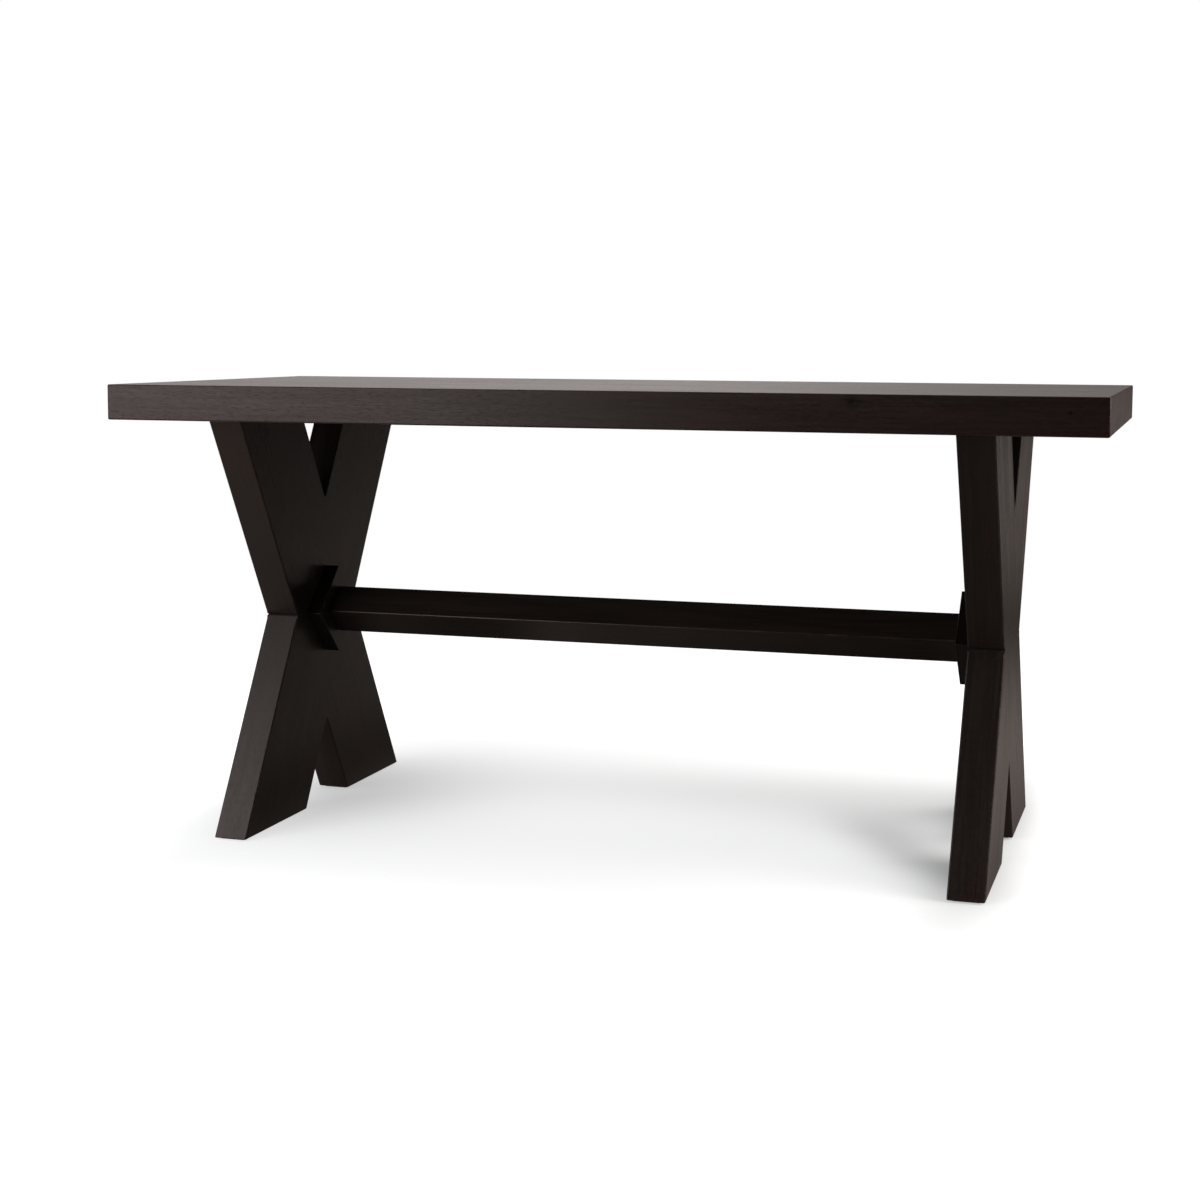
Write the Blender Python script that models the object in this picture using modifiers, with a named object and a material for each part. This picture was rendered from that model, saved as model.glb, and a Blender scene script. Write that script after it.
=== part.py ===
"""Counter height trestle table in dark stained wood.

A thick top of edge-glued boards stands on two X-shaped trestles. Each trestle is two wide planks
half-lapped at their crossing. One square stretcher, turned on edge, joins the two crossings: its tenons
sit in diamond-shaped end blocks, and a bed bolt with a barrel nut draws each end tight. A steel plate
let into the underside of the top joins it to each trestle.

Metres, +Z up. X runs along the table, Y from front to back. The origin is on the floor below the middle.
"""
import math

import bpy
import bmesh
from mathutils import Vector

# Driving dimensions: the top
TOP_LENGTH = 1.930
TOP_WIDTH = 0.876
TOP_THICKNESS = 0.070
TABLE_HEIGHT = 0.914
BOARD_COUNT = 5
END_OVERHANG = 0.197

# The trestles
LEG_SPREAD = 0.780
LEG_WIDTH = 0.244
LEG_THICKNESS = 0.070

# The stretcher and its end blocks
STRETCHER_SIDE = 0.070
BLOCK_SIDE = 0.132
BLOCK_THICKNESS = 0.030
TENON_SIDE = 0.040

# Bed bolts, their washers, barrel nuts and cover plugs
BOLT_RADIUS = 0.005
BOLT_TAIL = 0.004
HEAD_RADIUS = 0.0095
HEAD_HEIGHT = 0.0065
WASHER_RADIUS = 0.0105
WASHER_THICKNESS = 0.002
PLUG_RADIUS = 0.0125
PLUG_THICKNESS = 0.008
NUT_RADIUS = 0.008
NUT_LENGTH = 0.040
NUT_SETBACK = 0.045

# Dowels between the end blocks and the trestles
DOWEL_RADIUS = 0.005
DOWEL_DEPTH = 0.020

# Steel plates under the top, and their screws
PLATE_THICKNESS = 0.006
PLATE_FLANGE = 0.030
PLATE_END_MARGIN = 0.015
SCREW_END_DISTANCE = 0.025
BOARD_SCREW_RADIUS = 0.0025
BOARD_SCREW_HEAD_RADIUS = 0.005
BOARD_SCREW_HEAD_HEIGHT = 0.003
BOARD_SCREW_LENGTH = 0.045
LEG_SCREW_RADIUS = 0.004
LEG_SCREW_HEAD_RADIUS = 0.0075
LEG_SCREW_HEAD_HEIGHT = 0.004
LEG_SCREW_LENGTH = 0.080
LEG_SCREW_SPACING = 0.120
SCREW_POINT = 0.008

# Pads under the feet
PAD_THICKNESS = 0.003
PAD_MARGIN = 0.010

# Eased edges and clearances
EDGE_EASE = 0.003
EASE_STOP = 0.006
BLOCK_EASE = 0.0015
SEAT_GAP = 0.0003
HOLE_CLEARANCE = 0.0004
OVERCUT = 0.020

# How finely round things are faceted, and how corners are told apart
EASE_SEGMENTS = 2
SCREW_SIDES = 12
BOLT_SIDES = 16
PLUG_SIDES = 32
HEX_SIDES = 6
SHARP_ANGLE = math.radians(40)
EASED_ANGLE = math.radians(20)
FLAT_ANGLE = math.radians(1)
MERGE_DISTANCE = 0.00001

# Worked-out heights and places
UNDERSIDE = TABLE_HEIGHT - TOP_THICKNESS
LEG_BOTTOM = PAD_THICKNESS + SEAT_GAP
LEG_TOP = UNDERSIDE - SEAT_GAP
LEG_RISE = LEG_TOP - LEG_BOTTOM
CROSS_HEIGHT = (LEG_TOP + LEG_BOTTOM) / 2
TRESTLE_X = TOP_LENGTH / 2 - END_OVERHANG - LEG_THICKNESS / 2

# The lean solves LEG_RISE * tan(lean) + LEG_WIDTH / cos(lean) = LEG_SPREAD
LEG_LEAN = (math.acos(LEG_WIDTH / math.hypot(LEG_SPREAD, LEG_RISE)) - math.atan2(LEG_RISE, LEG_SPREAD))
FOOT_WIDTH = LEG_WIDTH / math.cos(LEG_LEAN)
BAND_LENGTH = 2 * (LEG_RISE + LEG_SPREAD)

# Places along X in a trestle's own frame, where +X points outwards
OUTER_FACE = LEG_THICKNESS / 2
INNER_FACE = -LEG_THICKNESS / 2
BLOCK_OUTER = INNER_FACE - SEAT_GAP
BLOCK_INNER = BLOCK_OUTER - BLOCK_THICKNESS
SHOULDER = BLOCK_INNER - SEAT_GAP
NUT_X = SHOULDER - NUT_SETBACK
PLUG_SEAT = OUTER_FACE - PLUG_THICKNESS
HEAD_TOP = PLUG_SEAT - SEAT_GAP
HEAD_SEAT = HEAD_TOP - HEAD_HEIGHT
WASHER_SEAT = HEAD_SEAT - SEAT_GAP - WASHER_THICKNESS
COUNTERBORE_FLOOR = WASHER_SEAT - SEAT_GAP
BOLT_END = NUT_X - NUT_RADIUS - BOLT_TAIL
DOWEL_OFFSET = (TENON_SIDE + BLOCK_SIDE) / 2 / math.sqrt(2)

PLATE_WIDTH = LEG_THICKNESS + 2 * PLATE_FLANGE
PLATE_LENGTH = LEG_SPREAD - 2 * PLATE_END_MARGIN

TO_PROFILE_PLANE = (math.radians(90), 0, math.radians(90))
ALONG_X = (0, math.radians(90), 0)
HALF_TURN = math.radians(180)
ON_EDGE = math.radians(45)


def clear_scene():
    for obj in list(bpy.data.objects):
        bpy.data.objects.remove(obj, do_unlink=True)


def make_collection(name, parent=None):
    collection = bpy.data.collections.new(name)
    (parent or bpy.context.scene.collection).children.link(collection)
    return collection


def make_material(name, colour, roughness, metallic=0.0):
    material = bpy.data.materials.new(name)
    material.use_nodes = True
    shader = material.node_tree.nodes["Principled BSDF"]
    shader.inputs["Base Color"].default_value = (*colour, 1.0)
    shader.inputs["Roughness"].default_value = roughness
    shader.inputs["Metallic"].default_value = metallic
    return material


clear_scene()
PARTS = make_collection("counter_height_table")
CUTTERS = make_collection("cutters")
STAINED_WOOD = make_material("stained_wood", (0.055, 0.038, 0.032), 0.42)
DOWEL_WOOD = make_material("dowel_wood", (0.55, 0.40, 0.25), 0.65)
STEEL = make_material("steel", (0.50, 0.50, 0.52), 0.35, 1.0)
PLATE_PAINT = make_material("plate_paint", (0.03, 0.03, 0.032), 0.55)
PAD_FELT = make_material("pad_felt", (0.05, 0.045, 0.045), 0.95)


def add_object(name, mesh, place, parent=None, material=None, group=PARTS):
    """Makes an object from a mesh. With no material it is a cutter, drawn as wire and never rendered."""
    obj = bpy.data.objects.new(name, mesh)
    group.objects.link(obj)
    location, rotation = place
    obj.location = location
    obj.rotation_euler = rotation
    obj.parent = parent
    if material:
        obj.data.materials.append(material)
    else:
        obj.hide_render = True
        obj.display_type = "WIRE"
    return obj


def add_empty(name, location=(0, 0, 0), turn=0.0):
    empty = bpy.data.objects.new(name, None)
    PARTS.objects.link(empty)
    empty.location = location
    empty.rotation_euler = (0, 0, turn)
    return empty


def mark_outside_edges(shape):
    """Weights the convex edges of a bmesh for easing, so that its inside corners stay crisp."""
    weight = shape.edges.layers.float.new("bevel_weight_edge")
    for edge in shape.edges:
        edge[weight] = 1.0 if edge.calc_face_angle_signed() > EASED_ANGLE else 0.0


def box_mesh(name, size):
    mesh = bpy.data.meshes.new(name)
    shape = bmesh.new()
    bmesh.ops.create_cube(shape, size=1.0)
    bmesh.ops.scale(shape, vec=Vector(size), verts=shape.verts)
    mark_outside_edges(shape)
    shape.to_mesh(mesh)
    shape.free()
    return mesh


def cylinder_mesh(name, radius, length, sides):
    mesh = bpy.data.meshes.new(name)
    shape = bmesh.new()
    bmesh.ops.create_cone(shape, cap_ends=True, segments=sides, radius1=radius, radius2=radius, depth=length)
    shape.to_mesh(mesh)
    shape.free()
    mesh.shade_smooth()
    mesh.set_sharp_from_angle(angle=SHARP_ANGLE)
    return mesh


def profile_mesh(name, points, closed=False):
    """A turned piece's profile in its XZ plane, run down the outer side."""
    mesh = bpy.data.meshes.new(name)
    shape = bmesh.new()
    verts = [shape.verts.new((radius, 0, height)) for radius, height in points]
    for first, second in zip(verts, verts[1:]):
        shape.edges.new((first, second))
    if closed:
        shape.edges.new((verts[-1], verts[0]))
    shape.to_mesh(mesh)
    shape.free()
    return mesh


def turn_profile(obj, sides):
    """Turns an object's profile about its own Z axis."""
    screw = obj.modifiers.new("turn", "SCREW")
    screw.axis = "Z"
    screw.angle = math.radians(360)
    screw.steps = sides
    screw.render_steps = sides
    screw.use_merge_vertices = True
    screw.merge_threshold = MERGE_DISTANCE
    return obj


def ease_edges(obj, width):
    """Rounds the edges that a mesh has marked, at the same width all round."""
    bevel = obj.modifiers.new("eased_edges", "BEVEL")
    bevel.width = width
    bevel.segments = EASE_SEGMENTS
    bevel.limit_method = "WEIGHT"


def combine(obj, other, operation="DIFFERENCE"):
    """Cuts, keeps or joins with another object, or with every object of a collection."""
    boolean = obj.modifiers.new(f"{operation.lower()}_{other.name}", "BOOLEAN")
    boolean.operation = operation
    boolean.solver = "EXACT"
    if isinstance(other, bpy.types.Collection):
        boolean.operand_type = "COLLECTION"
        boolean.collection = other
    else:
        boolean.object = other


def leg_edge(z, edge):
    """Where a leaning plank's long edge is at a height: edge -1 is its lower one, 1 its upper one."""
    return (CROSS_HEIGHT - z) * math.tan(LEG_LEAN) + edge * FOOT_WIDTH / 2


def leg_outline():
    """The corners of a plank, as (y, z), with points where the easing of its long edges stops."""
    stop = EASE_STOP * math.cos(LEG_LEAN)
    crotch = FOOT_WIDTH / 2 / math.tan(LEG_LEAN)
    lower = [LEG_TOP, CROSS_HEIGHT + stop, CROSS_HEIGHT - crotch - stop, LEG_BOTTOM]
    upper = [LEG_BOTTOM, CROSS_HEIGHT - stop, CROSS_HEIGHT + crotch + stop, LEG_TOP]
    return [(leg_edge(z, -1), z) for z in lower] + [(leg_edge(z, 1), z) for z in upper]


def leg_blank():
    """A plank as one flat piece in its XY plane, cut level at both ends, before it is lapped."""
    curve = bpy.data.curves.new("leg_outline", "CURVE")
    curve.dimensions = "2D"
    curve.fill_mode = "BOTH"
    curve.extrude = LEG_THICKNESS / 2
    corners = leg_outline()
    spline = curve.splines.new("POLY")
    spline.points.add(len(corners) - 1)
    for point, (y, z) in zip(spline.points, corners):
        point.co = (y, z, 0, 1)
    spline.use_cyclic_u = True
    outline = bpy.data.objects.new("leg_outline", curve)
    CUTTERS.objects.link(outline)
    bpy.context.view_layer.update()
    evaluated = outline.evaluated_get(bpy.context.evaluated_depsgraph_get())
    mesh = bpy.data.meshes.new_from_object(evaluated)
    bpy.data.objects.remove(outline, do_unlink=True)
    shape = bmesh.new()
    shape.from_mesh(mesh)
    bmesh.ops.remove_doubles(shape, verts=shape.verts, dist=MERGE_DISTANCE)
    bmesh.ops.dissolve_limit(shape, angle_limit=FLAT_ANGLE, verts=[], edges=shape.edges)
    bmesh.ops.recalc_face_normals(shape, faces=shape.faces)
    mark_outside_edges(shape)
    weight = shape.edges.layers.float["bevel_weight_edge"]
    for edge in shape.edges:
        y, z, _ = (edge.verts[0].co + edge.verts[1].co) / 2
        from_other_leg = abs(y * math.cos(LEG_LEAN) - (z - CROSS_HEIGHT) * math.sin(LEG_LEAN))
        if from_other_leg < LEG_WIDTH / 2:
            edge[weight] = 0.0
    shape.to_mesh(mesh)
    shape.free()
    return mesh


def plank_band(name, lean, width, x_low, x_high, trestle):
    """A long slab that follows one plank of the X, used to keep or to cut."""
    mesh = box_mesh(name, (x_high - x_low, width, BAND_LENGTH))
    centre = ((x_low + x_high) / 2, 0, CROSS_HEIGHT)
    return add_object(name, mesh, (centre, (lean, 0, 0)), trestle, group=CUTTERS)


def rod_along_x(name, x_low, x_high, radius, trestle, sides=BOLT_SIDES):
    """A round cutter along X through the middle of the crossing."""
    mesh = cylinder_mesh(name, radius, x_high - x_low, sides)
    centre = ((x_low + x_high) / 2, 0, CROSS_HEIGHT)
    return add_object(name, mesh, (centre, ALONG_X), trestle, group=CUTTERS)


def screw_profile(radius, head_radius, head_height, length):
    """Half of a countersunk screw: its head's flat at height 0, its point below."""
    return [
        (0, 0),
        (head_radius, 0),
        (radius, -head_height),
        (radius, SCREW_POINT - length),
        (0, -length),
    ]


def screw_room(radius, head_radius, head_height, length):
    """The hole for such a screw: clearance all round it, and open above its head."""
    mouth_radius = head_radius + HOLE_CLEARANCE
    below = screw_profile(radius + HOLE_CLEARANCE, mouth_radius, head_height, length + HOLE_CLEARANCE)
    return [(0, OVERCUT), (mouth_radius, OVERCUT)] + below[1:]


def add_screw(name, shape, place, parent, holes):
    """A countersunk screw, and its hole among the cutters."""
    screw = add_object(name, profile_mesh(name, screw_profile(*shape)), place, parent, STEEL)
    turn_profile(screw, SCREW_SIDES)
    room = profile_mesh(f"{name}_hole", screw_room(*shape))
    turn_profile(add_object(f"{name}_hole", room, place, parent, group=holes), SCREW_SIDES)


def add_plate(side, trestle):
    """The steel plate over a trestle, with its screws up into the boards and down into the planks."""
    name = f"{side}_mount_plate"
    middle = ((0, 0, UNDERSIDE + PLATE_THICKNESS / 2), (0, 0, 0))
    plate = add_object(name, box_mesh(name, (PLATE_WIDTH, PLATE_LENGTH, PLATE_THICKNESS)), middle, trestle,
                       PLATE_PAINT)
    board_holes = make_collection(f"{side}_board_screw_holes", CUTTERS)
    leg_holes = make_collection(f"{side}_leg_screw_holes", CUTTERS)

    board_screw = (BOARD_SCREW_RADIUS, BOARD_SCREW_HEAD_RADIUS, BOARD_SCREW_HEAD_HEIGHT, BOARD_SCREW_LENGTH)
    pitch = (PLATE_LENGTH - 2 * SCREW_END_DISTANCE) / (BOARD_COUNT - 1)
    flange_middle = (LEG_THICKNESS + PLATE_FLANGE) / 2
    for index in range(BOARD_COUNT):
        x = flange_middle if index % 2 else -flange_middle
        y = (index - (BOARD_COUNT - 1) / 2) * pitch
        place = ((x, y, UNDERSIDE), (HALF_TURN, 0, 0))
        add_screw(f"{side}_board_screw_{index + 1}", board_screw, place, trestle, board_holes)

    leg_screw = (LEG_SCREW_RADIUS, LEG_SCREW_HEAD_RADIUS, LEG_SCREW_HEAD_HEIGHT, LEG_SCREW_LENGTH)
    leg_middle = (LEG_SPREAD - FOOT_WIDTH) / 2
    offsets = [side_sign * leg_middle + step * LEG_SCREW_SPACING / 2
               for side_sign in (-1, 1) for step in (-1, 1)]
    for index, y in enumerate(offsets):
        place = ((0, y, UNDERSIDE + PLATE_THICKNESS), (0, 0, 0))
        add_screw(f"{side}_leg_screw_{index + 1}", leg_screw, place, trestle, leg_holes)

    combine(plate, board_holes)
    combine(plate, leg_holes)
    recess_size = (PLATE_WIDTH + 2 * SEAT_GAP, PLATE_LENGTH + 2 * SEAT_GAP, 2 * (PLATE_THICKNESS + SEAT_GAP))
    recess = add_object(f"{side}_plate_recess", box_mesh(f"{side}_plate_recess", recess_size),
                        ((0, 0, UNDERSIDE), (0, 0, 0)), trestle, group=CUTTERS)
    return recess, board_holes, leg_holes


def add_legs(side, trestle, blank, leg_holes, shared_cuts):
    """Both planks of a trestle: each keeps half the thickness where they cross."""
    far = OUTER_FACE + OVERCUT
    lap_width = LEG_WIDTH + 2 * SEAT_GAP
    outer_lap = plank_band(f"{side}_outer_lap", -LEG_LEAN, lap_width, -far, SEAT_GAP / 2, trestle)
    inner_lap = plank_band(f"{side}_inner_lap", LEG_LEAN, lap_width, -SEAT_GAP / 2, far, trestle)
    upright, across, around = TO_PROFILE_PLANE
    for name, turn, lap in (("outer", 0.0, outer_lap), ("inner", HALF_TURN, inner_lap)):
        place = ((0, 0, 0), (upright, across, around + turn))
        leg = add_object(f"{side}_{name}_leg", blank.copy(), place, trestle, STAINED_WOOD)
        ease_edges(leg, EDGE_EASE)
        for cutter in (lap, *shared_cuts, leg_holes):
            combine(leg, cutter)


def add_bed_bolt(side, trestle):
    """The bolt, washer and cover plug on a trestle's outer face, and the holes they need in the planks."""
    bolt_room = rod_along_x(f"{side}_bolt_hole", SHOULDER - OVERCUT, OUTER_FACE + OVERCUT,
                            BOLT_RADIUS + HOLE_CLEARANCE, trestle)
    counterbore = rod_along_x(f"{side}_counterbore", COUNTERBORE_FLOOR, OUTER_FACE + OVERCUT,
                              PLUG_RADIUS + HOLE_CLEARANCE, trestle, PLUG_SIDES)

    head_middle = (HEAD_TOP + HEAD_SEAT) / 2
    head_mesh = cylinder_mesh(f"{side}_bed_bolt", HEAD_RADIUS, HEAD_HEIGHT, HEX_SIDES)
    head_place = ((head_middle, 0, CROSS_HEIGHT), ALONG_X)
    bolt = add_object(f"{side}_bed_bolt", head_mesh, head_place, trestle, STEEL)
    shank = rod_along_x(f"{side}_bolt_shank", BOLT_END, head_middle, BOLT_RADIUS, trestle)
    combine(bolt, shank, "UNION")

    washer_points = [
        (WASHER_RADIUS, WASHER_THICKNESS),
        (WASHER_RADIUS, 0),
        (BOLT_RADIUS + HOLE_CLEARANCE, 0),
        (BOLT_RADIUS + HOLE_CLEARANCE, WASHER_THICKNESS),
    ]
    washer_mesh = profile_mesh(f"{side}_bolt_washer", washer_points, closed=True)
    washer_place = ((WASHER_SEAT, 0, CROSS_HEIGHT), ALONG_X)
    washer = add_object(f"{side}_bolt_washer", washer_mesh, washer_place, trestle, STEEL)
    turn_profile(washer, BOLT_SIDES)

    plug_mesh = cylinder_mesh(f"{side}_bolt_plug", PLUG_RADIUS, PLUG_THICKNESS, PLUG_SIDES)
    plug_place = (((OUTER_FACE + PLUG_SEAT) / 2, 0, CROSS_HEIGHT), ALONG_X)
    add_object(f"{side}_bolt_plug", plug_mesh, plug_place, trestle, STAINED_WOOD)
    return bolt_room, counterbore


def add_end_block(side, trestle, front):
    """The diamond block where the stretcher meets a trestle, and the dowels that keep it from turning."""
    name = f"{side}_end_block"
    place = (((BLOCK_OUTER + BLOCK_INNER) / 2, 0, CROSS_HEIGHT), (ON_EDGE, 0, 0))
    block = add_object(name, box_mesh(name, (BLOCK_THICKNESS, BLOCK_SIDE, BLOCK_SIDE)), place, trestle,
                       STAINED_WOOD)
    ease_edges(block, BLOCK_EASE)
    mortise_side = TENON_SIDE + 2 * HOLE_CLEARANCE
    mortise_size = (BLOCK_THICKNESS + 2 * OVERCUT, mortise_side, mortise_side)
    mortise = add_object(f"{side}_mortise", box_mesh(f"{side}_mortise", mortise_size), place, trestle,
                         group=CUTTERS)
    combine(block, mortise)

    dowel_holes = make_collection(f"{side}_dowel_holes", CUTTERS)
    seam = (INNER_FACE + BLOCK_OUTER) / 2
    for end_name, sign in (("front", front), ("back", -front)):
        dowel_name = f"{side}_{end_name}_dowel"
        dowel_place = ((seam, sign * DOWEL_OFFSET, CROSS_HEIGHT), ALONG_X)
        dowel_mesh = cylinder_mesh(dowel_name, DOWEL_RADIUS, 2 * DOWEL_DEPTH, BOLT_SIDES)
        add_object(dowel_name, dowel_mesh, dowel_place, trestle, DOWEL_WOOD)
        room_mesh = cylinder_mesh(f"{dowel_name}_hole", DOWEL_RADIUS + HOLE_CLEARANCE,
                                  2 * (DOWEL_DEPTH + HOLE_CLEARANCE), BOLT_SIDES)
        add_object(f"{dowel_name}_hole", room_mesh, dowel_place, trestle, group=dowel_holes)
    combine(block, dowel_holes)
    return dowel_holes


def add_foot_pads(side, trestle, front):
    """A felt pad under each foot of a trestle."""
    size = (LEG_THICKNESS - 2 * PAD_MARGIN, FOOT_WIDTH - 2 * PAD_MARGIN, PAD_THICKNESS)
    foot_middle = (LEG_SPREAD - FOOT_WIDTH) / 2
    for end_name, sign in (("front", front), ("back", -front)):
        name = f"{side}_{end_name}_foot_pad"
        place = ((0, sign * foot_middle, PAD_THICKNESS / 2), (0, 0, 0))
        add_object(name, box_mesh(name, size), place, trestle, PAD_FELT)


def build_trestle(side, x, turn, blank):
    """One trestle with everything fixed to it. The left one is the right one turned half round."""
    trestle = add_empty(f"{side}_trestle", (x, 0, 0), turn)
    front = 1 if turn else -1
    recess, board_holes, leg_holes = add_plate(side, trestle)
    bolt_room, counterbore = add_bed_bolt(side, trestle)
    dowel_holes = add_end_block(side, trestle, front)
    add_legs(side, trestle, blank, leg_holes, (bolt_room, counterbore, dowel_holes))
    add_foot_pads(side, trestle, front)
    return recess, board_holes


def build_top(underside_cuts):
    """The boards of the top, taken from one eased slab so that only its outside edges are rounded."""
    top = add_empty("top", (0, 0, UNDERSIDE + TOP_THICKNESS / 2))
    slab = box_mesh("top_slab", (TOP_LENGTH, TOP_WIDTH, TOP_THICKNESS))
    board_width = TOP_WIDTH / BOARD_COUNT
    for index in range(BOARD_COUNT):
        front = -TOP_WIDTH / 2 + index * board_width
        low = front - OVERCUT if index == 0 else front + SEAT_GAP / 2
        high = front + board_width
        high = high + OVERCUT if index == BOARD_COUNT - 1 else high - SEAT_GAP / 2
        name = f"top_board_{index + 1}"
        strip_size = (TOP_LENGTH + 2 * OVERCUT, high - low, TOP_THICKNESS + 2 * OVERCUT)
        strip = add_object(f"{name}_strip", box_mesh(f"{name}_strip", strip_size),
                           ((0, (low + high) / 2, 0), (0, 0, 0)), top, group=CUTTERS)
        board = add_object(name, slab.copy(), ((0, 0, 0), (0, 0, 0)), top, STAINED_WOOD)
        ease_edges(board, EDGE_EASE)
        combine(board, strip, "INTERSECT")
        for recess, board_holes in underside_cuts:
            combine(board, recess)
            combine(board, board_holes)


def build_stretcher():
    """The square bar turned on edge, with a tenon at each end and the holes for its bolts and barrel nuts."""
    length = 2 * (TRESTLE_X + SHOULDER)
    middle = add_empty("stretcher_line", (0, 0, CROSS_HEIGHT))
    place = ((0, 0, 0), (ON_EDGE, 0, 0))
    bar = box_mesh("stretcher", (length, STRETCHER_SIDE, STRETCHER_SIDE))
    stretcher = add_object("stretcher", bar, place, middle, STAINED_WOOD)
    ease_edges(stretcher, EDGE_EASE)
    tenon_length = length + 2 * (BLOCK_INNER - SHOULDER + BLOCK_THICKNESS)
    core = box_mesh("stretcher_tenons", (tenon_length, TENON_SIDE, TENON_SIDE))
    tenon = add_object("stretcher_tenons", core, place, middle, group=CUTTERS)
    combine(stretcher, tenon, "UNION")

    for side, sign in (("left", -1), ("right", 1)):
        nut_x = sign * (TRESTLE_X + NUT_X)
        bolt_end = sign * (TRESTLE_X + BOLT_END - HOLE_CLEARANCE)
        open_end = sign * (tenon_length / 2 + OVERCUT)
        bolt_mesh = cylinder_mesh(f"{side}_bolt_way", BOLT_RADIUS + HOLE_CLEARANCE, abs(open_end - bolt_end),
                                  BOLT_SIDES)
        bolt_place = (((open_end + bolt_end) / 2, 0, 0), ALONG_X)
        bolt_way = add_object(f"{side}_bolt_way", bolt_mesh, bolt_place, middle, group=CUTTERS)
        combine(stretcher, bolt_way)

        deep = NUT_LENGTH / 2 + HOLE_CLEARANCE
        mouth = -STRETCHER_SIDE / 2 - OVERCUT
        pocket_mesh = cylinder_mesh(f"{side}_nut_pocket", NUT_RADIUS + HOLE_CLEARANCE, deep - mouth,
                                    BOLT_SIDES)
        across = Vector((0, -math.sin(ON_EDGE), math.cos(ON_EDGE)))
        pocket_place = (Vector((nut_x, 0, 0)) + across * (deep + mouth) / 2, (ON_EDGE, 0, 0))
        pocket = add_object(f"{side}_nut_pocket", pocket_mesh, pocket_place, middle, group=CUTTERS)
        combine(stretcher, pocket)

        nut_mesh = cylinder_mesh(f"{side}_barrel_nut", NUT_RADIUS, NUT_LENGTH, BOLT_SIDES)
        nut = add_object(f"{side}_barrel_nut", nut_mesh, ((nut_x, 0, 0), (ON_EDGE, 0, 0)), middle, STEEL)
        combine(nut, bolt_way)


leg_mesh = leg_blank()
cuts = [
    build_trestle("left", -TRESTLE_X, HALF_TURN, leg_mesh),
    build_trestle("right", TRESTLE_X, 0.0, leg_mesh),
]
build_top(cuts)
build_stretcher()
bpy.context.view_layer.update()
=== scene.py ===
# %% [markdown]
# # A counter height trestle table, dressed for its portrait
# The table has a thick top of five glued boards on two crossed trestles. One square bar, turned on edge,
# ties the crossings together. The CAD model already holds every piece in its place, in metres, so this
# lesson loads it first and measures everything else from it.

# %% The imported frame
import math
from functools import partialmethod

import bmesh
import bpy
from mathutils import Matrix, Vector


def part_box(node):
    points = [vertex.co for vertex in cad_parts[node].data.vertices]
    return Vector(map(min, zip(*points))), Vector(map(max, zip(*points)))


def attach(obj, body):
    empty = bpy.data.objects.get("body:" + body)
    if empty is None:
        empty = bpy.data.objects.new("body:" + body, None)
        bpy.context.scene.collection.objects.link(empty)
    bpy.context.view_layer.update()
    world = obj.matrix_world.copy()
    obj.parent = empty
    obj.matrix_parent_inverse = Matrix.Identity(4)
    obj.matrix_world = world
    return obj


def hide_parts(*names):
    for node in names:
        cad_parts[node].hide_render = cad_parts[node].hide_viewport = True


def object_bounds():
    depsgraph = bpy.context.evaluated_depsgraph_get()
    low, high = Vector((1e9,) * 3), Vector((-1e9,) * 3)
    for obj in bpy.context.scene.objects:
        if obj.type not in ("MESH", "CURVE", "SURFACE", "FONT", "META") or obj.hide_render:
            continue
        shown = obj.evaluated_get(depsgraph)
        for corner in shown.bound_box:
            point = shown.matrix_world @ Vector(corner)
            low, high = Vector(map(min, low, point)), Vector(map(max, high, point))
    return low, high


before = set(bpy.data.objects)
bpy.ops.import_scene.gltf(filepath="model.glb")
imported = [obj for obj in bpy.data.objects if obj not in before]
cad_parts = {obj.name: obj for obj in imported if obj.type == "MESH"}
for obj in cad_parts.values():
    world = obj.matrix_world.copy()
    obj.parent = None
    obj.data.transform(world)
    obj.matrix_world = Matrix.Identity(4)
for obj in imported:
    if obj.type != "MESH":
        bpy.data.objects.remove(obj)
cad_low, cad_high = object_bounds()
print("frame:", len(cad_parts), "CAD nodes, box", tuple(cad_low), tuple(cad_high))

# %% [markdown]
# ## The camera
# The photograph was taken from the front, right of the table's middle, with the lens a hand's breadth
# above the top. A camera can be placed by eye, but the table's edges give it exactly: place, turn and
# focal length were solved so that the model's edges fall on the picture's. The picture was cropped below
# the lens's axis, so the camera has a small downward shift.

# %% The camera at the photograph's view
PHOTO_SIDE = 1200
FOCAL_PIXELS = 2014.28
AXIS_ROW = 521.77
SENSOR_WIDTH = 36.0
CAMERA_PLACE = Vector((1.14367, -3.96855, 1.01794))
CAMERA_YAW = 0.29847
CAMERA_PITCH = 0.09317
CAMERA_ROLL = 0.00413


def add_object(name, data):
    """Puts a new object with this mesh, camera or lamp in the scene."""
    thing = bpy.data.objects.new(name, data)
    bpy.context.scene.collection.objects.link(thing)
    return thing


def place_camera():
    data = bpy.data.cameras.new("portrait_camera")
    data.sensor_width = SENSOR_WIDTH
    data.lens = FOCAL_PIXELS / PHOTO_SIDE * SENSOR_WIDTH
    data.shift_y = (AXIS_ROW - PHOTO_SIDE / 2) / PHOTO_SIDE
    camera = add_object("portrait_camera", data)
    turned = Matrix.Rotation(CAMERA_YAW, 4, "Z")
    lowered = Matrix.Rotation(math.pi / 2 - CAMERA_PITCH, 4, "X")
    rolled = Matrix.Rotation(CAMERA_ROLL, 4, "Z")
    camera.matrix_world = Matrix.Translation(CAMERA_PLACE) @ turned @ lowered @ rolled
    bpy.context.scene.camera = camera
    return camera


camera = place_camera()
print("camera: lens", round(camera.data.lens, 2), "mm, shift", round(camera.data.shift_y, 4))

# %% [markdown]
# ## Sizes
# The pieces below fill the same space as the CAD solids, so their sizes come from the solids' boxes where
# a box can tell them, and from the table's own driving sizes where a piece leans or is hidden.

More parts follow.
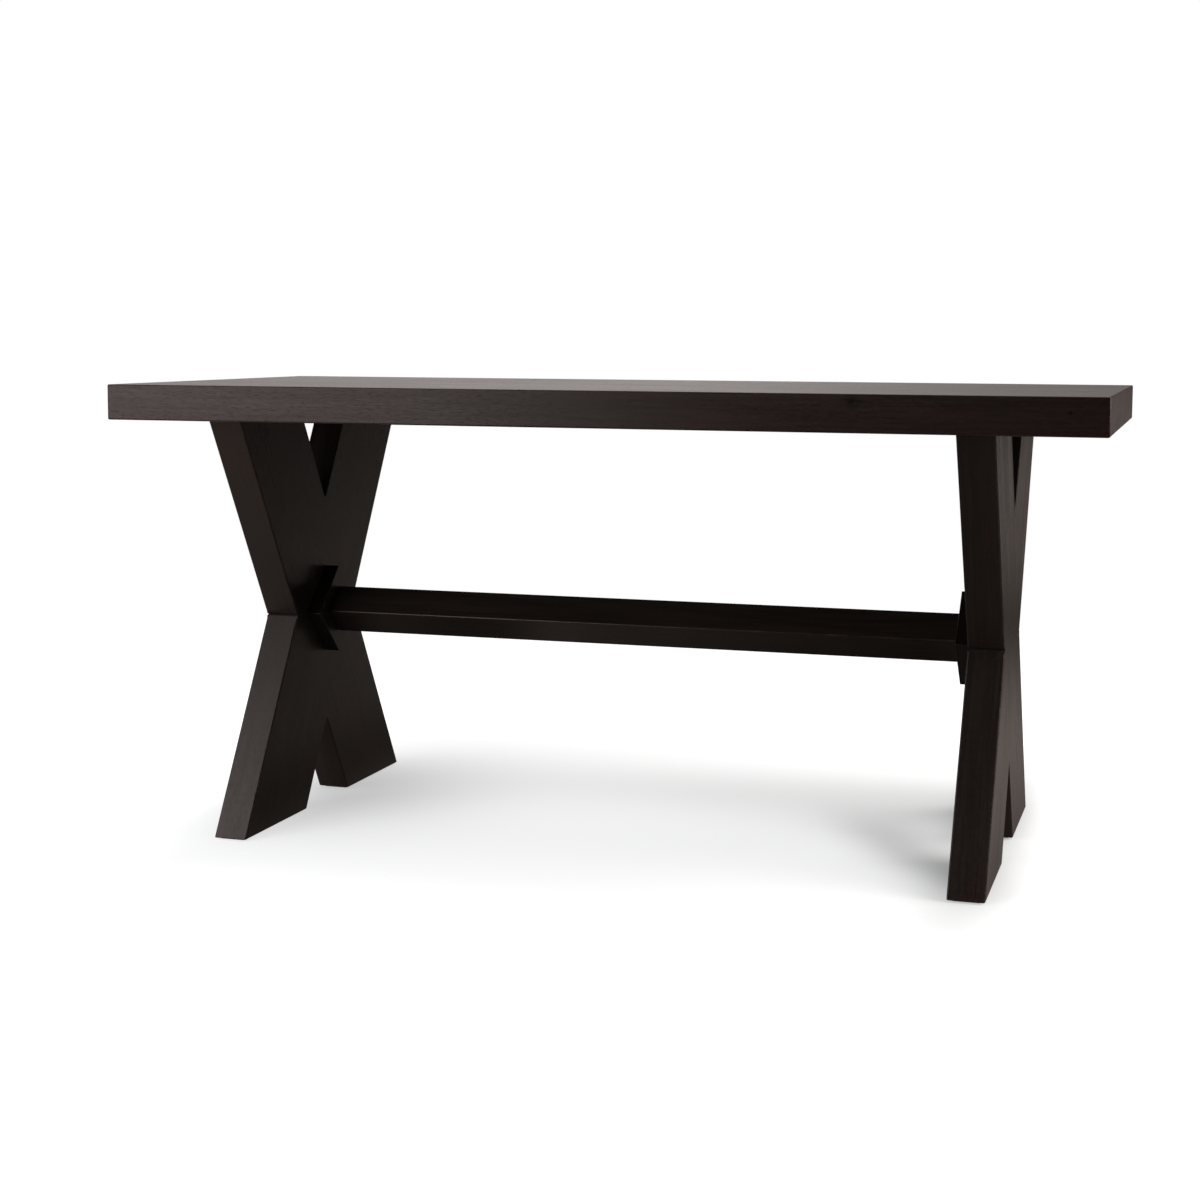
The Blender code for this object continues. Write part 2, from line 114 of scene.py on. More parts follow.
# %% Sizes of the table
SIDES = {"left": -1, "right": 1}
ENDS = ("front", "back")
TOP_LENGTH = cad_high.x - cad_low.x
TOP_WIDTH = cad_high.y - cad_low.y
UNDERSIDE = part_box("top_board_1")[0].z
TOP_THICKNESS = cad_high.z - UNDERSIDE
BOARD_COUNT = 5
LEG_SPREAD = 0.780
LEG_WIDTH = 0.244
LEG_THICKNESS = 0.070
PAD_THICKNESS = 0.003
STRETCHER_SIDE = 0.070
BLOCK_SIDE = 0.132
BLOCK_THICKNESS = 0.030
TENON_SIDE = 0.040
PLUG_RADIUS = 0.0125
BOLT_RADIUS = 0.005
JOINT_LINE = 0.0036
JOINT_DEPTH = 0.0040
BOARD_SCREW = {"Radius": 0.0025, "Head Radius": 0.005, "Head Height": 0.003, "Length": 0.045,
               "Point": 0.008, "Pitch": 0.0024}
LEG_SCREW = {"Radius": 0.004, "Head Radius": 0.0075, "Head Height": 0.004, "Length": 0.080,
             "Point": 0.008, "Pitch": 0.0036}
LEG_SCREW_COUNT = 4
EDGE_EASE = 0.003
BLOCK_EASE = 0.0015
EASE_STOP = 0.006

LEG_RISE = UNDERSIDE - PAD_THICKNESS
CROSS_HEIGHT = (UNDERSIDE + PAD_THICKNESS) / 2
LEG_LEAN = math.acos(LEG_WIDTH / math.hypot(LEG_SPREAD, LEG_RISE)) - math.atan2(LEG_RISE, LEG_SPREAD)
FOOT_WIDTH = LEG_WIDTH / math.cos(LEG_LEAN)
outer_low, outer_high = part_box("right_outer_leg")
TRESTLE_X = (outer_low.x + outer_high.x) / 2
print("lean", round(math.degrees(LEG_LEAN), 2), "degrees, foot", round(FOOT_WIDTH, 4), "m")

# %% [markdown]
# ## Nodes that read like formulas
# Shapes and finishes below are both made with nodes, and most of those nodes only add and multiply. Written
# one by one they hide the rule that they follow. So what comes out of a node is held as a wire, and sums
# and products of wires add the nodes that work them out.

# %% Nodes and wires


class Wire:
    """What a node hands on: a number, a vector, a colour or a shape."""

    def __init__(self, tree, socket):
        self.tree = tree
        self.socket = socket

    def maths(self, operation, *others):
        return work_out(self.tree, operation, self, *others)

    def __rsub__(self, other):
        return work_out(self.tree, "SUBTRACT", other, self)

    __add__ = partialmethod(maths, "ADD")
    __sub__ = partialmethod(maths, "SUBTRACT")
    __mul__ = partialmethod(maths, "MULTIPLY")
    __truediv__ = partialmethod(maths, "DIVIDE")
    __pow__ = partialmethod(maths, "POWER")
    __gt__ = partialmethod(maths, "GREATER_THAN")
    __abs__ = partialmethod(maths, "ABSOLUTE")

    def parts(self):
        """X, Y and Z of a vector."""
        return list(wires_of(add_node(self.tree, "ShaderNodeSeparateXYZ", {0: self})).values())

    def length(self):
        return wire_from(self.tree, "ShaderNodeVectorMath", {0: self}, "Value", operation="LENGTH")


def fill(node, sockets):
    """Sets the named or numbered sockets of a node, or links wires to them."""
    for name, value in sockets.items():
        if isinstance(value, Wire):
            node.id_data.links.new(value.socket, node.inputs[name])
        else:
            node.inputs[name].default_value = value


def add_node(tree, kind, sockets=None, **settings):
    node = tree.nodes.new(kind)
    for name, value in settings.items():
        setattr(node, name, value)
    fill(node, sockets or {})
    return node


def wires_of(node):
    """All that a node hands on, by name."""
    return {socket.name: Wire(node.id_data, socket) for socket in node.outputs}


def wire_from(tree, kind, sockets=None, output=0, **settings):
    """Adds a node and returns one of its outputs."""
    return Wire(tree, add_node(tree, kind, sockets, **settings).outputs[output])


def work_out(tree, operation, *values):
    """Adds a maths node. If one of the values is a vector, a plain number counts for X, Y and Z."""
    kind = "ShaderNodeMath"
    if any(isinstance(value, Wire) and value.socket.type == "VECTOR" for value in values):
        kind = "ShaderNodeVectorMath"
        values = [(value,) * 3 if isinstance(value, float) else value for value in values]
    return wire_from(tree, kind, dict(enumerate(values)), operation=operation)


def vector_of(tree, x, y, z):
    return wire_from(tree, "ShaderNodeCombineXYZ", {0: x, 1: y, 2: z})


def noise(place, scale, detail, roughness=0.5):
    sockets = {"Vector": place * scale, "Scale": 1.0, "Detail": detail, "Roughness": roughness}
    return wire_from(place.tree, "ShaderNodeTexNoise", sockets, "Fac")


def spread(value, low, high, to_low=0.0, to_high=1.0):
    """Maps a range of a value on to another, and stops at its ends."""
    sockets = {"Value": value, "From Min": low, "From Max": high, "To Min": to_low, "To Max": to_high}
    return wire_from(value.tree, "ShaderNodeMapRange", sockets)


def bell(value, middle, reach):
    """One at the middle, fading softly to nothing on both sides of it."""
    steps = (value - middle) / reach
    return (steps * steps * -1.0).maths("EXPONENT")


def mixed(tree, factor, first, second, blend="MIX"):
    """Blends two colours."""
    sockets = {0: factor, 6: first, 7: second}
    return wire_from(tree, "ShaderNodeMix", sockets, 2, data_type="RGBA", blend_type=blend)


def ramp_of(place, ends, stops):
    """Colours along a line from 0 to 1: one at each end, and one at each stop between them."""
    ramp = add_node(place.tree, "ShaderNodeValToRGB", {"Fac": place})
    elements = ramp.color_ramp.elements
    elements[0].color, elements[1].color = ends
    for position, colour in stops:
        elements.new(position).color = colour
    return Wire(place.tree, ramp.outputs["Color"])


def add_sockets(tree, way, kinds):
    for name, kind in kinds.items():
        tree.interface.new_socket(name, in_out=way, socket_type=f"NodeSocket{kind}")


# %% [markdown]
# ## Stained wood
# Every wooden piece is a close-grained wood, stained almost black-brown under a satin lacquer. A picture
# of wood could be wrapped around each piece, but a solid pattern is truer: the growth rings run round a
# line along the plank, as in a log, so faces, edges and end grain agree. One node group holds the pattern,
# and each piece's own material says which way its grain runs and which part of the log it was sawn from.
# Stain lies darker in pores and knots, and the eased edges are rubbed a little paler. Shade is painted
# darker into the inner corners of the crossings.

# %% The stained grain as a node group
DARK_STAIN = (0.0090, 0.0050, 0.0043, 1.0)
MIDDLE_STAIN = (0.0150, 0.0083, 0.0070, 1.0)
LIGHT_STAIN = (0.0238, 0.0131, 0.0108, 1.0)
RED_STAIN = (1.16, 0.90, 0.88, 1.0)
GREY_STAIN = (0.86, 1.07, 1.03, 1.0)
RUBBED_STAIN = (0.060, 0.036, 0.027, 1.0)
# Pores and knots take the stain this dark, and painted shade darkens the wood towards it too.
PORE_AND_SHADE_COLOUR = (0.0042, 0.0026, 0.0022, 1.0)
# A noise is its scale along, across and through the grain, its detail and sometimes its roughness.
WANDER = ((1.3, 4.0, 4.0), 2.0)
RINGS = ((0.9, 130.0, 1.0), 4.0, 0.62)
RIBBONS = ((2.6, 24.0, 24.0), 2.0)
FIBRES = ((7.0, 300.0, 300.0), 5.0, 0.64)
HAIRS = ((26.0, 1300.0, 1300.0), 2.0)
PORES = ((55.0, 1900.0, 1900.0), 1.0)
CLOUDS = ((2.1, 9.0, 9.0), 3.0)
FLUSHES = ((3.1, 15.0, 15.0), 2.0)
WEAR = ((16.0, 60.0, 60.0), 4.0, 0.65)
# A range is the part of a pattern that is spread over all of a colour or a sheen.
MOST_OF_NOISE = (0.3, 0.7)
GRAIN_RANGE = (0.40, 0.78)
PORE_RANGE = (0.63, 0.72)
KNOT_RANGE = (0.35, 0.85)
CLOUD_RANGE = (0.25, 0.75)
FLUSH_RANGE = (0.34, 0.66)
WEAR_RANGE = (0.44, 0.66)
CLOUD_DEPTH = (0.82, 1.18)
RING_WANDER = 0.10
KNOT_PUSH = 0.010
RING_SHARE = 0.36
FIBRE_SHARE = 0.40
HAIR_SHARE = 0.16
RIBBON_SHARE = 0.26
PORE_DARKNESS = 0.6
FIBRE_SHEEN = (0.27, 0.39)
RIBBON_SHEEN = (-0.03, 0.03)
PORE_DULLNESS = 0.14
KNOT_GLOSS = 0.04
FIBRE_HEIGHT = 0.5
RING_HEIGHT = 0.3


def make_stained_grain():
    """Rings, fibres, pores, cloudy staining and painted shade, for a place whose X runs along the grain."""
    tree = bpy.data.node_groups.new("stained_grain", "ShaderNodeTree")
    add_sockets(tree, "INPUT", {"Place": "Vector", "Rubbed": "Float", "Knot": "Float", "Painted Shade": "Float",
                                "Redness": "Float"})
    add_sockets(tree, "OUTPUT", {"Color": "Color", "Roughness": "Float", "Height": "Float"})
    place, rubbed, knot, stain, redness, _ = wires_of(add_node(tree, "NodeGroupInput")).values()

    x, y, z = place.parts()
    from_heart = (y ** 2 + z ** 2).maths("SQRT") + noise(place, *WANDER) * RING_WANDER + knot * KNOT_PUSH
    rings = noise(vector_of(tree, x, from_heart, 0.0), *RINGS)
    ribbon = noise(place, *RIBBONS)
    fibre = noise(place, *FIBRES)
    pores = spread(noise(place, *PORES), *PORE_RANGE)
    knot_heart = spread(knot, *KNOT_RANGE)

    grain = rings * RING_SHARE + fibre * FIBRE_SHARE + noise(place, *HAIRS) * HAIR_SHARE
    grain = grain + ribbon * RIBBON_SHARE
    colour = ramp_of(spread(grain, *GRAIN_RANGE), (DARK_STAIN, LIGHT_STAIN), [(0.5, MIDDLE_STAIN)])
    flush = noise(place, *FLUSHES) + redness
    tint = mixed(tree, spread(flush, *FLUSH_RANGE), GREY_STAIN, RED_STAIN)
    colour = mixed(tree, 1.0, colour, tint, "MULTIPLY")
    depth = spread(noise(place, *CLOUDS), *CLOUD_RANGE, *CLOUD_DEPTH)
    colour = mixed(tree, 1.0, colour, vector_of(tree, depth, depth, depth), "MULTIPLY")
    # The third of these darkens with painted shade, towards the same colour as pores and knots.
    dark = (pores * PORE_DARKNESS).maths("MAXIMUM", knot_heart).maths("MAXIMUM", stain)
    colour = mixed(tree, dark, colour, PORE_AND_SHADE_COLOUR)
    worn = spread(noise(place, *WEAR), *WEAR_RANGE) * rubbed
    colour = mixed(tree, worn, colour, RUBBED_STAIN)

    sheen = spread(fibre, *MOST_OF_NOISE, *FIBRE_SHEEN) + pores * PORE_DULLNESS
    sheen = sheen + spread(ribbon, *MOST_OF_NOISE, *RIBBON_SHEEN) - knot_heart * KNOT_GLOSS
    height = fibre * FIBRE_HEIGHT - pores + rings * RING_HEIGHT
    add_node(tree, "NodeGroupOutput", {"Color": colour, "Roughness": sheen, "Height": height})
    return tree


stained_grain = make_stained_grain()
print("stained grain:", len(stained_grain.nodes), "nodes")

# %% One wood material for each piece
SATIN_SHADER = {"Specular IOR Level": 0.35, "Specular Tint": (1.0, 0.88, 0.84, 1.0)}
TOP_REDNESS = 0.15
BASE_REDNESS = -0.15
STRETCHER_REDNESS = -0.55
EDGE_RUB = 0.35
GRAIN_BUMP = (0.25, 0.0004)
KNOT_SQUEEZE = (0.75, 1.0, 1.0)
# Shade painted into the inner corners over the crossings: how far above the crossing, how soft, how far in.
CORNER_SHADE_RISE = 0.0040
CORNER_SHADE_REACH = 0.0050
CORNER_SHADE_DEPTH = 0.012
JOINT_DULLNESS = 0.55


def start_material(name, constants):
    """A new material; returns it with its shader, whose constants are set, and the place on the piece."""
    material = bpy.data.materials.new(name)
    material.use_nodes = True
    shader = material.node_tree.nodes["Principled BSDF"]
    fill(shader, constants)
    return material, shader, wire_from(material.node_tree, "ShaderNodeTexCoord", output="Object")


def bumped(height, strength, distance):
    sockets = {"Height": height, "Strength": strength, "Distance": distance}
    return wire_from(height.tree, "ShaderNodeBump", sockets, "Normal")


def knot_field(place, knots):
    """1 in the heart of the nearest knot, falling to 0 at its rim. A knot is a place and a radius."""
    field = 0.0
    for middle, radius in knots:
        distance = ((place - middle) * KNOT_SQUEEZE).length()
        field = spread(distance, 0.0, radius, 1.0, 0.0).maths("MAXIMUM", field)
    return field


def joint_field(place):
    """1 where shade is painted in the inner corner over a crossing, at the front and back of a trestle."""
    _, y, z = place.parts()
    corner = FOOT_WIDTH / 2 - CORNER_SHADE_DEPTH
    outside = spread(abs(y), corner, corner + CORNER_SHADE_DEPTH / 2)
    return outside * bell(z, CROSS_HEIGHT + CORNER_SHADE_RISE, CORNER_SHADE_REACH)


def make_wood(name, turn, log_place, redness=BASE_REDNESS, rubbed=0.0, knots=(), joint=False, stain=0.0):
    """Wood whose grain runs along X once it is turned, taken from its own place in the log."""
    material, shader, place = start_material(name, SATIN_SHADER)
    sockets = {"Vector": place, "Rotation": turn, "Location": log_place}
    sawn = wire_from(place.tree, "ShaderNodeMapping", sockets)
    # The last value here darkens the wood with painted shade.
    sockets = {"Place": sawn, "Rubbed": rubbed, "Redness": redness, "Painted Shade": stain}
    grain = add_node(place.tree, "ShaderNodeGroup", sockets, node_tree=stained_grain)
    colour, sheen, height = wires_of(grain).values()
    if knots:
        fill(grain, {"Knot": knot_field(place, knots)})
    # Painted shade darkens the inner corners over the crossings, and the lacquer there is duller.
    if joint:
        corner_shade = joint_field(place)
        fill(grain, {"Painted Shade": corner_shade})
        sheen = sheen + corner_shade * JOINT_DULLNESS
    fill(shader, {"Base Color": colour, "Roughness": sheen, "Normal": bumped(height, *GRAIN_BUMP)})
    return material


def make_woods(name, turn, log_place, redness=BASE_REDNESS, rub=EDGE_RUB, **extras):
    """The wood of a piece, and the same wood where its eased edges were rubbed a little paler."""
    return (make_wood(f"{name}_wood", turn, log_place, redness, 0.0, **extras),
            make_wood(f"{name}_edge", turn, log_place, redness, rub, **extras))


# %% [markdown]
# ## Pieces that follow a rule
# A board, a plank or a bar is a sawn shape with a few sizes, and the table repeats each of them. They could
# be modelled one by one, but a Geometry Nodes tree says the rule once and takes the sizes as named inputs.
# Each tree below makes the sharp shape and marks which of its edges are eased. A Bevel modifier then rounds
# the marked edges, Booleans cut what is let in, and the result is turned into a plain mesh.

# %% Helpers for the trees
EASE_SEGMENTS = 4
CREASE_ANGLE = math.radians(35)


def new_tree(name, *numbers, **others):
    """A tree for a shape; returns it with the wires of its points, numbers, other inputs and material."""
    tree = bpy.data.node_groups.new(name, "GeometryNodeTree")
    tree.is_modifier = True
    add_sockets(tree, "OUTPUT", {"Geometry": "Geometry"})
    kinds = {"Geometry": "Geometry", **dict.fromkeys(numbers, "Float"), **others, "Material": "Material"}
    add_sockets(tree, "INPUT", kinds)
    given = wires_of(add_node(tree, "NodeGroupInput"))
    return tree, *[given[socket] for socket in kinds]


def end_tree(shape, material):
    tree = shape.tree
    whole = wire_from(tree, "GeometryNodeRealizeInstances", {"Geometry": shape})
    coloured = wire_from(tree, "GeometryNodeSetMaterial", {"Geometry": whole, "Material": material})
    add_node(tree, "NodeGroupOutput", {"Geometry": coloured})
    return tree


def place_of(tree):
    """X, Y and Z of the point or of the middle of the edge that a field is asked about."""
    return wire_from(tree, "GeometryNodeInputPosition").parts()


def box_of(tree, size, rows=None):
    return wire_from(tree, "GeometryNodeMeshCube", {"Size": size, **(rows or {})}, "Mesh")


def moved_points(shape, place):
    return wire_from(shape.tree, "GeometryNodeSetPosition", {"Geometry": shape, "Position": place})


def copied(points, shape, turn=(0.0, 0.0, 0.0)):
    """A copy of a shape on every point."""
    sockets = {"Points": points, "Instance": shape, "Rotation": turn}
    return wire_from(shape.tree, "GeometryNodeInstanceOnPoints", sockets)


def mark_eased(shape, weight):
    """Stores the weight that the Bevel modifier reads on each edge."""
    sockets = {"Geometry": shape, "Name": "bevel_weight_edge", "Value": weight}
    return wire_from(shape.tree, "GeometryNodeStoreNamedAttribute", sockets, data_type="FLOAT",
                     domain="EDGE")


def take_result(piece):
    """Puts what the modifiers make in the place of the piece's mesh."""
    bpy.context.view_layer.update()
    evaluated = piece.evaluated_get(bpy.context.evaluated_depsgraph_get())
    mesh = bpy.data.meshes.new_from_object(evaluated)
    piece.modifiers.clear()
    piece.data = mesh
    mesh.name = piece.name
    return mesh


def grow(name, tree, sizes, materials, points=()):
    """A piece that a tree makes. Its inputs are set by identifier before it is first evaluated."""
    seeds = bpy.data.meshes.new(name)
    seeds.from_pydata(points, [], [])
    piece = add_object(name, seeds)
    growth = piece.modifiers.new("growth", "NODES")
    growth.node_group = tree
    inputs = {item.name: item.identifier for item in tree.interface.items_tree if item.in_out == "INPUT"}
    for input_name, value in {**sizes, "Material": materials[0]}.items():
        growth[inputs[input_name]] = value
    mesh = take_result(piece)
    mesh.materials.clear()
    for material in materials:
        mesh.materials.append(material)
    mesh.polygons.foreach_set("material_index", [0] * len(mesh.polygons))
    mesh.shade_smooth()
    mesh.set_sharp_from_angle(angle=CREASE_ANGLE)
    return piece


def ease(piece, width):
    """Rounds the marked edges. The new faces take the piece's second material, the rubbed wood."""
    bevel = piece.modifiers.new("eased_edges", "BEVEL")
    bevel.width = width
    bevel.segments = EASE_SEGMENTS
    bevel.limit_method = "WEIGHT"
    bevel.material = 1


def shade_eased(mesh):
    """Flat faces keep their own normals, and the faces of an eased edge turn from one to the next."""
    flats, eased = {}, {}
    for face in mesh.polygons:
        for vertex in face.vertices:
            (eased if face.material_index else flats).setdefault(vertex, []).append(face.normal.copy())
    normals = [None] * len(mesh.loops)
    for face in mesh.polygons:
        for corner, vertex in zip(face.loop_indices, face.vertices):
            normals[corner] = face.normal.copy()
            if face.material_index:
                beside = [flat for flat in flats.get(vertex, []) if flat.angle(face.normal) < CREASE_ANGLE]
                normals[corner] = beside[0] if beside else sum(eased[vertex], Vector()).normalized()
    mesh.shade_smooth()
    mesh.normals_split_custom_set(normals)


def settle(piece, cutters):
    """Makes a plain mesh of an eased and cut piece, and throws the cutters away."""
    mesh = take_result(piece)
    for cutter in cutters:
        bpy.data.objects.remove(cutter, do_unlink=True)
    shade_eased(mesh)
    eased_count = sum(face.material_index for face in mesh.polygons)
    print(piece.name, len(mesh.polygons), "faces,", eased_count, "of them on eased edges")


def hand_over(piece, slot, *nodes):
    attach(piece, "root")
    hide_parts(*nodes)


# %% [markdown]
# ## Cutters
# The planks are half-lapped, and bolts, plates and tenons are let into the wood. A Boolean with a
# temporary solid cuts each of these rooms, as a saw, a router or a drill would.

# %% Solids to cut with
ROD_SIDES = 32
OVERCUT = 0.020
ALONG_X = (0.0, math.radians(90), 0.0)
UPRIGHT = (0.0, 0.0, 0.0)
ON_EDGE = (math.radians(45), 0.0, 0.0)


def add_solid(name, shape, place, turn):
    mesh = bpy.data.meshes.new(name)
    shape.to_mesh(mesh)
    shape.free()
    solid = add_object(name, mesh)
    solid.location = place
    solid.rotation_euler = turn
    solid.hide_render = True
    return solid


def block_solid(name, size, place, turn=UPRIGHT):
    shape = bmesh.new()
    bmesh.ops.create_cube(shape, size=1.0)
    bmesh.ops.scale(shape, vec=size, verts=shape.verts)
    return add_solid(name, shape, place, turn)


def rod_solid(name, radius, length, place, turn=ALONG_X):
    shape = bmesh.new()
    bmesh.ops.create_cone(shape, cap_ends=True, segments=ROD_SIDES, radius1=radius, radius2=radius,
                          depth=length)
    return add_solid(name, shape, place, turn)


def dowel_way(side, end):
    """A hole as wide and as long as a dowel."""
    low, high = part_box(f"{side}_{end}_dowel")
    return rod_solid(f"{side}_{end}_dowel_way", (high.z - low.z) / 2, high.x - low.x, (low + high) / 2)


def screw_way(node_name, radius):
    """A hole as wide as a screw's thread and as long as the screw."""
    low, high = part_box(node_name)
    return rod_solid(f"{node_name}_way", radius, high.z - low.z, (low + high) / 2, UPRIGHT)


def cut(piece, solids, operation="DIFFERENCE"):
    for solid in solids:
        boolean = piece.modifiers.new(solid.name, "BOOLEAN")
        boolean.operation = operation
        boolean.solver = "EXACT"
        boolean.object = solid
    return solids


# %% [markdown]
# ## The top
# The top is five boards glued edge to edge and planed as one slab. Only the slab's outside is eased; the
# glue lines are tight. So the tree makes one board and marks an edge for easing only where it lies on the
# slab's outline. Under each trestle the boards are cut back for a steel plate. The front board has three
# knots on its outer edge, where the photograph shows them.

# %% The boards of the top
ALONG_TABLE = (0.0, 0.0, 0.0)
OUTLINE_SLACK = 0.001
RECESS_SLACK = 0.0003
KNOTS = {1: (
    ((0.521, -0.438, 0.9005), 0.026),
    ((0.898, -0.438, 0.886), 0.008),
    ((-0.711, -0.438, 0.905), 0.012),
)}
BOARD_LOGS = (
    (3.1, 0.47, -0.74),
    (7.7, 0.21, -1.02),
    (12.9, -0.02, -0.80),
    (18.3, -0.18, -1.05),
    (24.1, -0.40, -0.77),
)


def make_board_tree():
    tree, _, length, width, thickness, underside, front, back, material = new_tree(
        "glued_board", "Slab Length", "Slab Width", "Thickness", "Underside", "Front", "Back")
    box = box_of(tree, vector_of(tree, length, back - front, thickness))
    middle_z = underside + thickness / 2.0
    middle = vector_of(tree, 0.0, (front + back) / 2.0, middle_z)
    board = wire_from(tree, "GeometryNodeTransform", {"Geometry": box, "Translation": middle})
    x, y, z = place_of(tree)

    def at_limit(value, whole):
        return abs(value) > whole / 2.0 - OUTLINE_SLACK

    along_side = at_limit(y, width)
    across_end = at_limit(x, length) * at_limit(z - middle_z, thickness)
    return end_tree(mark_eased(board, along_side.maths("MAXIMUM", across_end)), material)


def build_board(number, tree):
    name = f"board_{number}"
    knots = KNOTS.get(number, ())
    materials = make_woods(name, ALONG_TABLE, BOARD_LOGS[number - 1], TOP_REDNESS, knots=knots)
    front = cad_low.y + (number - 1) * TOP_WIDTH / BOARD_COUNT
    sizes = {"Slab Length": TOP_LENGTH, "Slab Width": TOP_WIDTH, "Thickness": TOP_THICKNESS,
             "Underside": UNDERSIDE, "Front": front, "Back": front + TOP_WIDTH / BOARD_COUNT}
    board = grow(name, tree, sizes, materials)
    ease(board, EDGE_EASE)
    rooms = []
    for side in SIDES:
        low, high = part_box(f"{side}_mount_plate")
        size = high - low + Vector((2, 2, 2)) * RECESS_SLACK
        size.z = 2 * (high.z - UNDERSIDE + RECESS_SLACK)
        place = (low + high) / 2
        rooms.append(block_solid(f"{name}_{side}_room", size, (place.x, place.y, UNDERSIDE)))
        in_order = number if side == "right" else BOARD_COUNT + 1 - number
        rooms.append(screw_way(f"{side}_board_screw_{in_order}", BOARD_SCREW["Radius"]))
    settle(board, cut(board, rooms))
    hand_over(board, "stained_wood", f"top_board_{number}")


board_tree = make_board_tree()
for number in range(1, BOARD_COUNT + 1):
    build_board(number, board_tree)

# %% [markdown]
# ## The crossed planks
# Each trestle is two wide planks that lean against each other and cross at mid-height, sawn level at the
# floor and under the top. A leaning plank with level ends is a box pushed sideways in proportion to height,
# so the tree moves the points of a box instead of turning it. The planks are halved into each other, and a
# joiner eases their edges only up to the joint, so the tree has rows of points where the easing stops. A
# fine groove in the inner corners gives the dark line that a lap joint shows.

# %% The leaning planks
FLAT_ANGLE = math.radians(20)
INNER_ROW = 0.4
PLANK_ROWS = {"Vertices Z": 4}
PLANK_LOGS = {
    ("left", "outer"): (41.0, 0.16, 0.82),
    ("left", "inner"): (47.0, 0.11, 0.85),
    ("right", "outer"): (53.0, 0.19, -0.64),
    ("right", "inner"): (59.0, 0.13, -0.62),
}


def make_plank_tree():
    """The two inner rows of points lie where the easing stops, past the fork on the side that has one."""
    tree, _, rise, foot, thickness, cross, lean, ease_stop, middle, hand, material = new_tree(
        "leaning_plank", "Rise", "Foot Width", "Thickness", "Cross Height", "Lean", "Ease Stop", "Middle",
        "Hand")
    slope, cosine, sine = [lean.maths(kind) for kind in ("TANGENT", "COSINE", "SINE")]
    half_foot = foot / 2.0
    box = box_of(tree, vector_of(tree, thickness, 2.0, 1.0), PLANK_ROWS)
    x, across, row = place_of(tree)
    way = row.maths("SIGN")
    past_fork = across * way > 0.0
    inner = way * (past_fork * (half_foot / slope) + ease_stop * cosine)
    is_end = abs(row) > INNER_ROW
    above = spread(is_end, 0.0, 1.0, inner, row * rise)
    along = across * half_foot - above * slope
    plank = moved_points(box, vector_of(tree, middle + hand * x, hand * along, cross + above))

    _, edge_y, edge_z = place_of(tree)
    from_other = abs(hand * edge_y * cosine - (edge_z - cross) * sine)
    outside = from_other > half_foot * cosine
    angle = wire_from(tree, "GeometryNodeInputMeshEdgeAngle", output="Signed Angle")
    return end_tree(mark_eased(plank, outside * (angle > FLAT_ANGLE)), material)


def plank_hand(side, layer):
    """1 or -1: a trestle's planks lean opposite ways, and one trestle is the other turned half round."""
    return 1 if (side == "right") == (layer == "outer") else -1


def plank_turn(side, layer):
    """The turn that lays a plank's length along X for its grain."""
    return (-plank_hand(side, layer) * LEG_LEAN, math.radians(90), 0.0)


def build_plank(side, layer, tree, log_place):
    name = f"{side}_{layer}_plank"
    way = SIDES[side]
    hand = plank_hand(side, layer)
    middle = way * TRESTLE_X
    # These planks get painted shade in the inner corners of their crossings.
    materials = make_woods(name, plank_turn(side, layer), log_place, joint=True)
    sizes = {"Rise": LEG_RISE, "Foot Width": FOOT_WIDTH, "Thickness": LEG_THICKNESS,
             "Cross Height": CROSS_HEIGHT, "Lean": LEG_LEAN, "Ease Stop": EASE_STOP, "Middle": middle,
             "Hand": float(hand)}
    plank = grow(name, tree, sizes, materials)
    ease(plank, EDGE_EASE)
    reach = LEG_THICKNESS / 2 + OVERCUT
    lap_size = (reach, LEG_WIDTH, 2 * LEG_SPREAD)
    lap_x = middle + (-way if layer == "outer" else way) * reach / 2
    lap_turn = (-hand * LEG_LEAN, 0.0, 0.0)
    rooms = [
        block_solid(f"{name}_lap", lap_size, (lap_x, 0.0, CROSS_HEIGHT), lap_turn),
        rod_solid(f"{name}_bolt_way", BOLT_RADIUS, 4 * LEG_THICKNESS, (middle, 0.0, CROSS_HEIGHT)),
    ]
    if layer == "outer":
        outer_face = middle + way * LEG_THICKNESS / 2
        washer_low, washer_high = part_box(f"{side}_bolt_washer")
        floor_x = washer_low.x if way > 0 else washer_high.x
        depth = abs(outer_face - floor_x) + OVERCUT
        plug_place = (floor_x + way * depth / 2, 0.0, CROSS_HEIGHT)
        rooms.append(rod_solid(f"{name}_plug_room", PLUG_RADIUS, depth, plug_place))
    else:
        rooms += [dowel_way(side, end) for end in ENDS]
    for number in range(1, LEG_SCREW_COUNT + 1):
        screw_low, screw_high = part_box(f"{side}_leg_screw_{number}")
        if (screw_low.y + screw_high.y) * hand < 0:
            rooms.append(screw_way(f"{side}_leg_screw_{number}", LEG_SCREW["Radius"]))
    line_size = (2 * LEG_THICKNESS, 2 * JOINT_DEPTH, JOINT_LINE)
    for end in (-1, 1):
        corner = (middle, end * FOOT_WIDTH / 2, CROSS_HEIGHT + JOINT_LINE / 2)
        rooms.append(block_solid(f"{name}_joint_line_{end}", line_size, corner))
    settle(plank, cut(plank, rooms))
    hand_over(plank, "stained_wood", f"{side}_{layer}_leg")


plank_tree = make_plank_tree()
for (side, layer), log_place in PLANK_LOGS.items():
    build_plank(side, layer, plank_tree, log_place)

# %% [markdown]
# ## The stretcher and its end blocks
# A square bar, turned to stand on one of its edges, runs between the crossings. At each end it meets a
# square block that is turned the same way, and its tenon passes through the block. Bar and blocks are the
# same rule at different sizes, so one tree makes them. The tenons, the mortises and the pockets for the
# barrel nuts are cut afterwards. The right block is darkened by painted shade.

